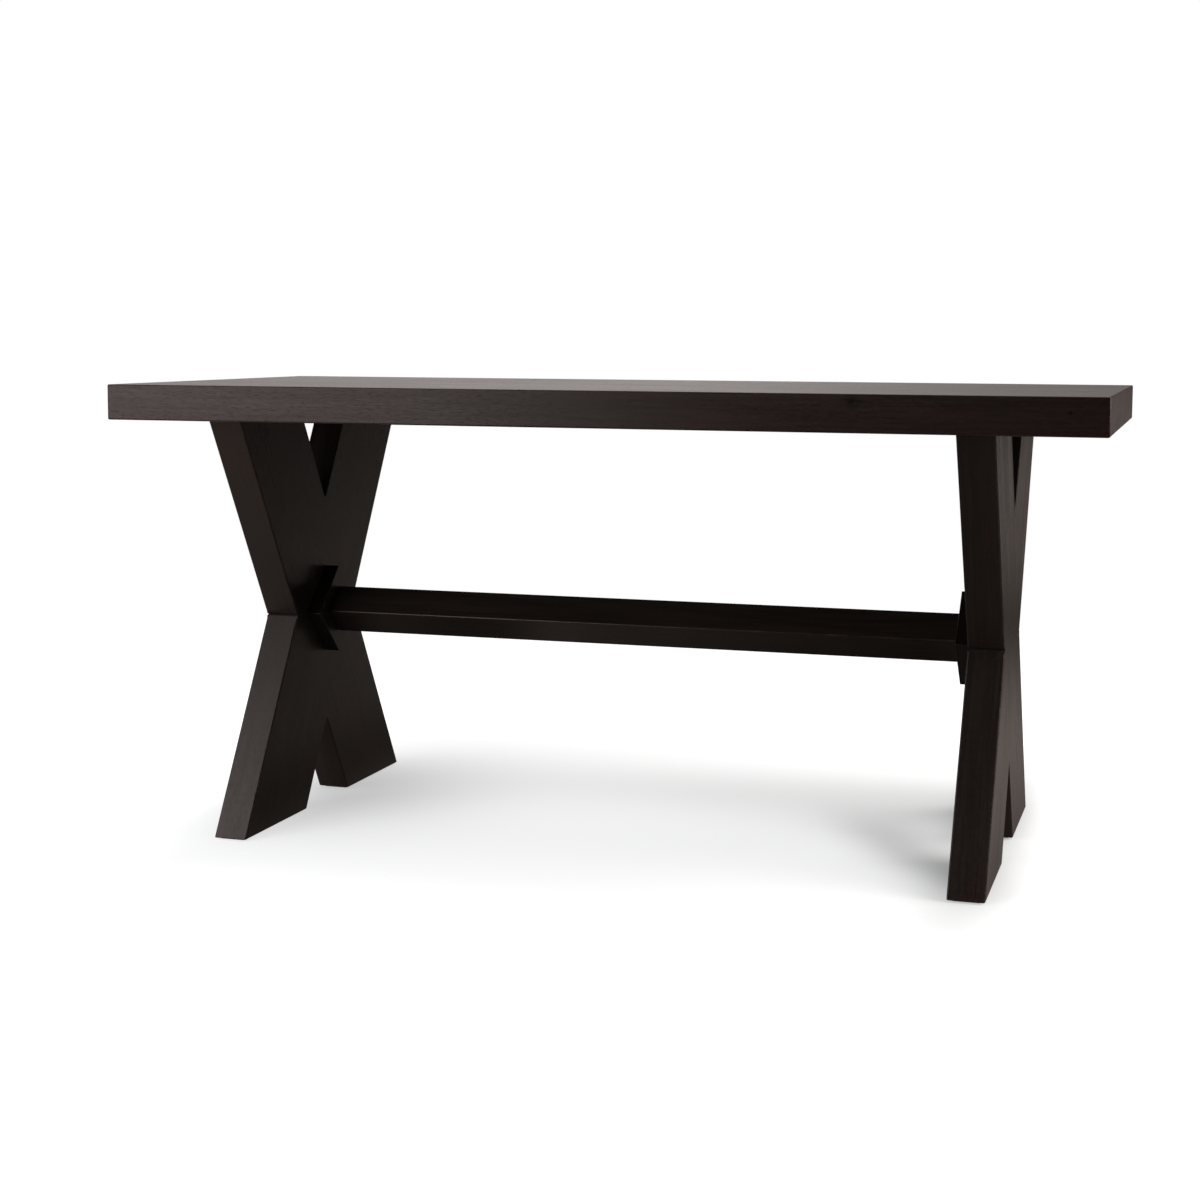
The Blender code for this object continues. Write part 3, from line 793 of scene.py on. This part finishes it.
# %% The bar and the blocks
STRETCHER_LOG = (31.7, 0.18, -0.42)
BLOCK_GRAIN = (math.radians(45), math.radians(90), 0.0)
BLOCK_LOGS = {"left": (67.0, 0.2, -0.5), "right": (73.0, 0.2, 0.9)}
# How much shade is painted into each block's wood; the right block is the darker.
BLOCK_PAINTED_SHADE = {"left": 0.0, "right": 0.8}
NUT_REACH = 0.021


def make_bar_tree():
    tree, _, length, side, turn, middle, material = new_tree(
        "square_on_edge", "Length", "Side", Turn="Vector", Middle="Vector")
    box = box_of(tree, vector_of(tree, length, side, side))
    sockets = {"Geometry": box, "Translation": middle, "Rotation": turn}
    bar = wire_from(tree, "GeometryNodeTransform", sockets)
    return end_tree(mark_eased(bar, 1.0), material)


def build_stretcher(tree):
    materials = make_woods("stretcher_bar", ON_EDGE, STRETCHER_LOG, STRETCHER_REDNESS)
    block_inner = TRESTLE_X - LEG_THICKNESS / 2 - BLOCK_THICKNESS
    middle = Vector((0.0, 0.0, CROSS_HEIGHT))
    sizes = {"Length": 2 * block_inner, "Side": STRETCHER_SIDE, "Turn": ON_EDGE, "Middle": middle}
    bar = grow("stretcher_bar", tree, sizes, materials)
    ease(bar, EDGE_EASE)
    tenon_size = (2 * (block_inner + BLOCK_THICKNESS), TENON_SIDE, TENON_SIDE)
    tenons = cut(bar, [block_solid("tenons", tenon_size, middle, ON_EDGE)], "UNION")
    rooms = []
    for side in SIDES:
        low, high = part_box(f"{side}_barrel_nut")
        nut_radius = (high.x - low.x) / 2 + RECESS_SLACK
        outward = Vector((0.0, math.sin(ON_EDGE[0]), -math.cos(ON_EDGE[0])))
        depth = STRETCHER_SIDE / 2 + OVERCUT + NUT_REACH
        place = (low + high) / 2 + outward * (depth / 2 - NUT_REACH)
        rooms.append(rod_solid(f"{side}_nut_pocket", nut_radius, depth, place, ON_EDGE))
        bolt_low, bolt_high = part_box(f"{side}_bed_bolt")
        bolt_place = ((bolt_low.x + bolt_high.x) / 2, 0.0, CROSS_HEIGHT)
        rooms.append(rod_solid(f"{side}_bolt_way", BOLT_RADIUS, bolt_high.x - bolt_low.x, bolt_place))
    settle(bar, tenons + cut(bar, rooms))
    hand_over(bar, "stained_wood", "stretcher")


def build_block(side, tree):
    name = f"{side}_diamond_block"
    # The block's wood takes its painted shade.
    materials = make_woods(name, BLOCK_GRAIN, BLOCK_LOGS[side], STRETCHER_REDNESS, rub=0.0,
                           stain=BLOCK_PAINTED_SHADE[side])
    block_x = SIDES[side] * (TRESTLE_X - (LEG_THICKNESS + BLOCK_THICKNESS) / 2)
    place = Vector((block_x, 0.0, CROSS_HEIGHT))
    sizes = {"Length": BLOCK_THICKNESS, "Side": BLOCK_SIDE, "Turn": ON_EDGE, "Middle": place}
    block = grow(name, tree, sizes, materials)
    ease(block, BLOCK_EASE)
    mortise_size = (BLOCK_THICKNESS + OVERCUT, TENON_SIDE, TENON_SIDE)
    mortise = block_solid(f"{side}_mortise", mortise_size, place, ON_EDGE)
    settle(block, cut(block, [mortise] + [dowel_way(side, end) for end in ENDS]))
    hand_over(block, "stained_wood", f"{side}_end_block")


bar_tree = make_bar_tree()
build_stretcher(bar_tree)
for side in SIDES:
    build_block(side, bar_tree)

# %% [markdown]
# ## Steel, paint, beech and felt
# The hidden pieces get their own finishes, because the table may be shown from below or taken apart. The
# plates have a black powder coat, finely dimpled like orange peel. Screws, bolts and nuts are zinc-plated
# and slightly clouded. The dowels are bare beech, with short dark flecks along the grain. The pads are
# pressed felt: dull, fuzzy and mottled.

# %% The small finishes
# A finish is its shader's constants, two colours, the noise that blends them, its skin's noise and bump.
POWDER_COAT = {
    "constants": {"Roughness": 0.55},
    "colours": ((0.011, 0.011, 0.012, 1.0), (0.019, 0.019, 0.020, 1.0)),
    "clouds": (9.0, 3.0),
    "skin": (420.0, 2.0),
    "bump": (0.35, 0.0006),
}
ZINC = {
    "constants": {"Roughness": 0.36, "Metallic": 1.0},
    "colours": ((0.38, 0.38, 0.37, 1.0), (0.60, 0.61, 0.63, 1.0)),
    "clouds": (160.0, 4.0, 0.6),
    "skin": (1400.0, 2.0),
    "bump": (0.12, 0.0002),
}
FELT = {
    "constants": {"Roughness": 0.95, "Specular IOR Level": 0.15, "Sheen Weight": 0.25,
                  "Sheen Roughness": 0.5},
    "colours": ((0.020, 0.016, 0.014, 1.0), (0.046, 0.038, 0.033, 1.0)),
    "clouds": (230.0, 4.0, 0.65),
    "skin": ((1500.0, 1100.0, 1300.0), 3.0, 0.7),
    "bump": (0.8, 0.0008),
}
POWDER_SHEEN = (0.46, 0.62)
ZINC_SHEEN = (0.30, 0.48)
BEECH_COLOURS = ((0.55, 0.36, 0.22, 1.0), (0.33, 0.19, 0.10, 1.0))
BEECH_FIBRES = ((25.0, 900.0, 900.0), 4.0)
BEECH_FLECKS = ((420.0, 2600.0, 2600.0), 1.0)
FLECK_RANGE = (0.60, 0.68)
FIBRE_DARKNESS = 0.6
BEECH_BUMP = (0.25, 0.0003)


def paint(shader, factor, colours, height, bump):
    """Gives a shader a pattern of two colours and a bump."""
    fill(shader, {"Base Color": mixed(height.tree, factor, *colours), "Normal": bumped(height, *bump)})


def make_finish(name, constants, colours, clouds, skin, bump):
    """A clouded finish with a bumpy skin; returns it with its shader and both noises."""
    material, shader, place = start_material(name, constants)
    cloud, relief = noise(place, *clouds), noise(place, *skin)
    paint(shader, spread(cloud, *MOST_OF_NOISE), colours, relief, bump)
    return material, shader, cloud, relief


def make_beech():
    material, shader, place = start_material("bare_beech", {"Roughness": 0.62})
    fibre = noise(place, *BEECH_FIBRES)
    fleck = spread(noise(place, *BEECH_FLECKS), *FLECK_RANGE)
    paint(shader, (fibre * FIBRE_DARKNESS).maths("MAXIMUM", fleck), BEECH_COLOURS, fibre, BEECH_BUMP)
    return material


powder_coat, powder_shader, _, dimples = make_finish("black_powder_coat", **POWDER_COAT)
fill(powder_shader, {"Roughness": spread(dimples, *MOST_OF_NOISE, *POWDER_SHEEN)})
zinc, zinc_shader, zinc_clouds, _ = make_finish("zinc_plated_steel", **ZINC)
fill(zinc_shader, {"Roughness": spread(zinc_clouds, *MOST_OF_NOISE, *ZINC_SHEEN)})
beech = make_beech()
felt = make_finish("pressed_felt", **FELT)[0]
print("finishes:", powder_coat.name, zinc.name, beech.name, felt.name)

# %% Finishes on the CAD pieces that stay
KEPT_PIECES = {"mount_plate": powder_coat, "bed_bolt": zinc, "bolt_washer": zinc, "barrel_nut": zinc,
               "front_dowel": beech, "back_dowel": beech}


def dress(node_name, material):
    for material_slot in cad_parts[node_name].material_slots:
        material_slot.material = material


for side in SIDES:
    for name, material in KEPT_PIECES.items():
        dress(f"{side}_{name}", material)
    plug_wood = make_wood(f"{side}_plug_wood", plank_turn(side, "outer"), PLANK_LOGS[side, "outer"])
    dress(f"{side}_bolt_plug", plug_wood)
print("on each side these CAD pieces stay:", *KEPT_PIECES, "bolt_plug")

# %% [markdown]
# ## Screws
# Five countersunk wood screws hold each plate up against the boards, and four longer ones go down into the
# planks. A screw is a rod whose radius rises and falls along a helix. Turned from a profile, its thread
# would be closed rings, so the tree takes a cylinder instead, asks how far along the helix each point lies
# and moves it in or out. Two Booleans sink the cross recess, and a copy goes on every point, turned at
# random with a fixed seed, as real screws come to rest.

# %% The countersunk screws
THREAD_SIDES = 18
ROWS_PER_TURN = 6
ROOT_FLAT = 0.3
ROOT_SHARE = 0.70
SHANK_SHARE = 0.92
PLAIN_SHARE = 0.30
TIP_SHARE = 0.06
RECESS_REACH = 0.56
RECESS_BLADE = 0.17
RECESS_DEPTH = 0.75
RECESS_OVERCUT = 0.2
RECESS_TURNS = (0.0, math.radians(90))
SCREW_SEED = 7


def make_recess_blade(head_radius, head_height, turn):
    """A thin wedge, wide at the head's flat and narrow at its bottom."""
    tree = head_radius.tree
    box = box_of(tree, (1.0, 1.0, 1.0))
    x, y, z = place_of(tree)
    deep = z + 0.5
    wide = x * spread(deep, 0.0, 1.0, 2.0 * RECESS_REACH, RECESS_REACH) * head_radius
    thick = y * RECESS_BLADE * head_radius
    height = spread(deep, 0.0, 1.0, -RECESS_OVERCUT, 1.0) * (head_height * RECESS_DEPTH)
    blade = moved_points(box, vector_of(tree, wide, thick, height))
    return wire_from(tree, "GeometryNodeTransform", {"Geometry": blade, "Rotation": (0.0, 0.0, turn)})


def make_screw_tree():
    tree, points, radius, head_radius, head_height, length, tip, pitch, tilt, seed, material = new_tree(
        "countersunk_screw", *BOARD_SCREW, "Tilt", Seed="Int")
    rows = length / pitch * float(ROWS_PER_TURN)
    sockets = {"Vertices": THREAD_SIDES, "Side Segments": rows, "Radius": 1.0, "Depth": length}
    rod = wire_from(tree, "GeometryNodeMeshCylinder", sockets, "Mesh", fill_type="TRIANGLE_FAN")
    x, y, z = place_of(tree)
    along = z + length / 2.0
    wound = along / pitch - y.maths("ARCTAN2", x) / math.tau
    ridge = spread((wound * 2.0).maths("PINGPONG", 1.0), ROOT_FLAT, 1.0, ROOT_SHARE, 1.0)
    plain_end = length * PLAIN_SHARE
    share = spread(along, plain_end, plain_end + pitch, SHANK_SHARE, ridge)
    share = share * spread(along, length - tip, length, 1.0, TIP_SHARE)
    head = spread(along, 0.0, head_height, head_radius, 0.0)
    reach = (share * radius).maths("MAXIMUM", head)
    screw = moved_points(rod, vector_of(tree, x * reach, y * reach, along))
    for turn in RECESS_TURNS:
        sockets = {"Mesh 1": screw, "Mesh 2": make_recess_blade(head_radius, head_height, turn)}
        screw = wire_from(tree, "GeometryNodeMeshBoolean", sockets, "Mesh", operation="DIFFERENCE",
                          solver="EXACT")
    sockets = {2: 0.0, 3: math.tau, "Seed": seed}
    spin = wire_from(tree, "FunctionNodeRandomValue", sockets, 1, data_type="FLOAT")
    return end_tree(copied(points, screw, vector_of(tree, tilt, 0.0, spin)), material)


def build_screws(name, kind, count, sizes, head_down, tree):
    """One mesh of all the screws of a kind, each with its head's flat where the CAD screw has it."""
    nodes = [f"{side}_{kind}_{number}" for side in SIDES for number in range(1, count + 1)]
    points = []
    for node_name in nodes:
        low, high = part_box(node_name)
        middle = (low + high) / 2
        points.append((middle.x, middle.y, low.z if head_down else high.z))
    tilt = 0.0 if head_down else math.pi
    screws = grow(name, tree, {**sizes, "Tilt": tilt, "Seed": SCREW_SEED}, (zinc,), points)
    print(name, len(points), "screws,", len(screws.data.polygons), "faces")
    hand_over(screws, "steel", *nodes)


screw_tree = make_screw_tree()
build_screws("board_screws", "board_screw", BOARD_COUNT, BOARD_SCREW, True, screw_tree)
build_screws("plank_screws", "leg_screw", LEG_SCREW_COUNT, LEG_SCREW, False, screw_tree)

# %% [markdown]
# ## Felt pads
# A thin strip of felt, with soft and slightly ragged edges, keeps each foot off the floor. The tree draws
# a fine box, gathers its rows near the edges with a sine, rounds them over and pulls them in by a little
# noise, so the pad never grows past the solid that it stands for.

# %% The felt pads
PAD_ROUNDING = 0.0012
PAD_FUZZ = 0.0006
PAD_RAGS = (420.0, 3.0)
RAG_RANGE = (0.3, 0.75)
PAD_ROWS = {"Vertices X": 24, "Vertices Y": 72, "Vertices Z": 6}


def make_pad_tree():
    tree, points, rounding, fuzz, size, material = new_tree("felt_pad", "Rounding", "Fuzz", Size="Vector")
    box = box_of(tree, (2.0, 2.0, 2.0), PAD_ROWS)
    half = size * 0.5
    corner_shade = [(part * (math.pi / 2)).maths("SINE") for part in place_of(tree)]
    place = vector_of(tree, *corner_shade) * half
    core = half - rounding
    kept = place.maths("MAXIMUM", core * -1.0).maths("MINIMUM", core)
    away = (place - kept).maths("NORMALIZE")
    sideways = (away * (1.0, 1.0, 0.0)).length()
    pulled = spread(noise(place, *PAD_RAGS), *RAG_RANGE) * fuzz * sideways
    sockets = {0: away, "Scale": rounding - pulled}
    rounded = wire_from(tree, "ShaderNodeVectorMath", sockets, operation="SCALE")
    return end_tree(copied(points, moved_points(box, kept + rounded)), material)


def build_pads(tree):
    nodes = [f"{side}_{end}_foot_pad" for side in SIDES for end in ENDS]
    boxes = [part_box(node_name) for node_name in nodes]
    points = [(low + high) / 2 for low, high in boxes]
    sizes = {"Size": boxes[0][1] - boxes[0][0], "Rounding": PAD_ROUNDING, "Fuzz": PAD_FUZZ}
    pads = grow("felt_pads", tree, sizes, (felt,), points)
    hand_over(pads, "pad_felt", *nodes)
    print("felt pads:", len(points), "pads,", len(pads.data.polygons), "faces")


build_pads(make_pad_tree())

# %% [markdown]
# ## The studio
# The table stands on a white floor in front of white. A tall softbox at the front left washes over the
# left of the front face, one at the right lights the right end, and a weak overhead lamp and the world
# fill the rest. The satin lacquer also mirrors the room, bright behind the table to the left and dark to
# the right, where a studio would hang a black cloth. The camera sees white everywhere; only gloss sees
# that room. Paper in a studio gets light from many sides, so most of its brightness is a glow that only
# the camera sees. The soft shade under the table, as the photograph shows it, is taken out of that glow.

# %% What gloss sees of the room
ROOM_GLOSS = 0.035
ROOM_TINT = (1.0, 0.93, 0.90)
FLOOR_TINT = (1.0, 0.87, 0.79)
BACKDROP_GLOSS = (
    (-100.0, 0.06), (-60.0, 0.60), (-30.0, 0.75), (-24.0, 0.80), (-15.0, 0.94), (-10.0, 0.70),
    (-6.0, 0.50), (-3.0, 0.44), (-1.0, 0.37), (2.5, 0.16), (6.0, 0.12), (12.0, 0.15), (18.0, 0.02),
    (34.0, 0.02), (70.0, 0.05),
)
FAR_FLOOR_GLOSS = (
    (-100.0, 0.06), (-60.0, 0.70), (-17.0, 0.86), (-7.0, 0.42), (0.0, 0.26), (3.5, 0.21), (6.0, 0.20),
    (10.0, 0.23), (13.2, 0.86), (15.5, 0.07), (17.5, 0.01), (34.0, 0.02), (70.0, 0.05),
)
FLOOR_GLOSS = (
    (-1.20, 0.48), (-1.04, 0.42), (-0.60, 0.06), (-0.42, 0.07), (-0.30, 0.30), (-0.22, 0.19), (0.20, 0.10),
    (0.55, 0.03), (0.95, 0.38),
)
GLOSS_REACH = 2.0


def gloss_ramp(place, stops, outside, tint):
    """Levels along a line from 0 to 1, all of one tint. The two ends keep the outside levels."""
    def tinted(level):
        return [level * share for share in tint] + [1.0]

    return ramp_of(place, [tinted(level) for level in outside],
                   [(position, tinted(level)) for position, level in stops])


def room_gloss(direction, levels, tint):
    """How bright the room is in a direction. It is measured round from straight behind the table."""
    x, y, _ = direction.parts()
    bearing = x.maths("ARCTAN2", y) / math.tau + 0.5
    stops = [(degrees / 360.0 + 0.5, level) for degrees, level in levels]
    return gloss_ramp(bearing, stops, (ROOM_GLOSS, ROOM_GLOSS), tint)


def floor_gloss(place):
    """How bright the floor near the table is in a reflection. It goes from left to right."""
    across = spread(place.parts()[0], -GLOSS_REACH, GLOSS_REACH)
    stops = [(left / GLOSS_REACH / 2 + 0.5, level) for left, level in FLOOR_GLOSS]
    return gloss_ramp(across, stops, (FLOOR_GLOSS[0][1], FLOOR_GLOSS[-1][1]), FLOOR_TINT)


def ray_kinds(tree):
    """What kind of ray meets a surface, by name, and whether it came by way of a mirror or glass."""
    rays = wires_of(add_node(tree, "ShaderNodeLightPath"))
    return rays, rays["Is Glossy Ray"].maths("MAXIMUM", rays["Is Transmission Ray"])


# %% The floor
FLOOR_REACH = 40.0
FLOOR_COLOUR = (0.425, 0.432, 0.440, 1.0)
BOUNCE_COLOUR = (0.55, 0.55, 0.55, 1.0)
FLOOR_GLOW = 0.760
FLOOR_DROP = 0.0002
SHADE_MIDDLE = 0.10
SHADE_LENGTH = (0.66, 1.00)
SHADE_WIDTH = (0.55, 0.95)
SWEEP_RANGE = (1.6, 3.6)
BACK_SHADE_ENDS = (-0.698, 0.66)
BACK_SHADE_STOP = 0.80
BACK_SHADE_DEPTH = 0.396
BACK_SHADE_LINE = (0.365, 0.245)
LEFT_SHADE = (0.307, (-0.738, 0.325), (0.118, 0.378))
RIGHT_SHADE = (0.352, (0.606, 0.102), (-0.092, 0.241))
RIGHT_SHADE_SLANT = 0.524
FOOT_SHADE = (0.398, (0.728, 0.084), (0.082, 0.644))


def floor_shade(x, y):
    """How much the soft shade takes from the paper: a streak along the back and patches by the trestles."""
    start, end = BACK_SHADE_ENDS
    growing = spread(x, start, end, 0.0, BACK_SHADE_DEPTH)
    ending = spread(x, end, BACK_SHADE_STOP, 1.0, 0.0)
    shade = growing * ending * bell(y, *BACK_SHADE_LINE)
    slanted = x + (y - RIGHT_SHADE[2][0]) * RIGHT_SHADE_SLANT
    for (depth, along, across), place in ((LEFT_SHADE, x), (FOOT_SHADE, x), (RIGHT_SHADE, slanted)):
        shade = shade + bell(place, *along) * bell(y, *across) * depth
    return shade


def floor_brightness(x, y):
    """How bright the paper glows: white away from the table, and less by the soft shade under it."""
    past_ends = spread(abs(x), *SHADE_LENGTH)
    past_sides = spread(abs(y - SHADE_MIDDLE), *SHADE_WIDTH)
    past = (past_ends ** 2).maths("MAXIMUM", past_sides ** 2)
    return spread(past, 0.0, 1.0, FLOOR_GLOW - floor_shade(x, y), 1.0)


def either(factor, first, second):
    """Blends two shaders."""
    return wire_from(factor.tree, "ShaderNodeMixShader", {0: factor, 1: first, 2: second})


def make_paper():
    """Paper that shows the camera its shade, and gloss the room's floor. It is clear from below."""
    paper = bpy.data.materials.new("white_paper")
    paper.use_nodes = True
    tree = paper.node_tree
    tree.nodes.clear()
    place = wire_from(tree, "ShaderNodeTexCoord", output="Object")
    x, y, _ = place.parts()
    far = spread(place.length(), *SWEEP_RANGE)
    rays, mirrored = ray_kinds(tree)
    seen = rays["Is Camera Ray"]
    colour = mixed(tree, seen, BOUNCE_COLOUR, FLOOR_COLOUR)
    matt = wire_from(tree, "ShaderNodeBsdfDiffuse", {"Color": colour})
    glow = wire_from(tree, "ShaderNodeEmission", {"Strength": seen * floor_brightness(x, y)})
    near_paper = wire_from(tree, "ShaderNodeAddShader", {0: matt, 1: glow})
    sweep = wire_from(tree, "ShaderNodeEmission", {"Strength": seen})
    gloss = mixed(tree, far, floor_gloss(place), room_gloss(place, FAR_FLOOR_GLOSS, FLOOR_TINT))
    mirror = wire_from(tree, "ShaderNodeEmission", {"Color": gloss})
    clear = wire_from(tree, "ShaderNodeBsdfTransparent")
    from_below = wire_from(tree, "ShaderNodeNewGeometry", output="Backfacing")
    surface = either(from_below, either(mirrored, either(far, near_paper, sweep), mirror), clear)
    add_node(tree, "ShaderNodeOutputMaterial", {"Surface": surface})
    return paper


def make_floor():
    mesh = bpy.data.meshes.new("floor")
    signs = ((-1, -1), (1, -1), (1, 1), (-1, 1))
    corners = [(x * FLOOR_REACH, y * FLOOR_REACH, -FLOOR_DROP) for x, y in signs]
    mesh.from_pydata(corners, [], [(0, 1, 2, 3)])
    mesh.materials.append(make_paper())
    floor = add_object("floor", mesh)
    return floor


floor = make_floor()
print("floor:", floor.dimensions[:])

# %% The world and the lamps
FILL_FRONT = 0.09
FILL_BACK = 0.41
WARM_TINT = (1.0, 0.95, 0.90)


def make_world():
    world = bpy.data.worlds.new("studio")
    world.use_nodes = True
    tree = world.node_tree
    tree.nodes.clear()
    direction = wire_from(tree, "ShaderNodeTexCoord", output="Generated")
    rays, mirrored = ray_kinds(tree)
    ambient = rays["Is Diffuse Ray"] * spread(direction.parts()[1], -1.0, 1.0, FILL_FRONT, FILL_BACK)
    plain = rays["Is Camera Ray"].maths("MAXIMUM", ambient)
    colour = mixed(tree, mirrored, plain, room_gloss(direction, BACKDROP_GLOSS, ROOM_TINT))
    backdrop = wire_from(tree, "ShaderNodeBackground", {"Color": colour})
    add_node(tree, "ShaderNodeOutputWorld", {"Surface": backdrop})
    bpy.context.scene.world = world


def add_softbox(name, place, target, size, power, tint=(1.0, 1.0, 1.0)):
    data = bpy.data.lights.new(name, "AREA")
    data.shape = "RECTANGLE"
    data.size, data.size_y = size
    data.energy = power
    data.color = tint
    lamp = add_object(name, data)
    lamp.location = place
    lamp.rotation_mode = "QUATERNION"
    lamp.rotation_quaternion = (Vector(target) - Vector(place)).to_track_quat("-Z", "Y")
    return lamp


make_world()
lamps = [
    add_softbox("left_softbox", (-2.49, -3.28, 1.7), (0.0, 0.0, 0.6), (2.95, 3.0), 90.0),
    add_softbox("right_softbox", (3.0, 0.45, 1.8), (0.5, 0.0, 0.3), (1.8, 2.2), 84.0, WARM_TINT),
    add_softbox("overhead_softbox", (0.2, 0.25, 3.2), (0.2, 0.25, 0.0), (3.4, 2.2), 20.0),
]
bpy.context.scene.view_settings.view_transform = "Standard"
print("lamps:", [lamp.name for lamp in lamps])
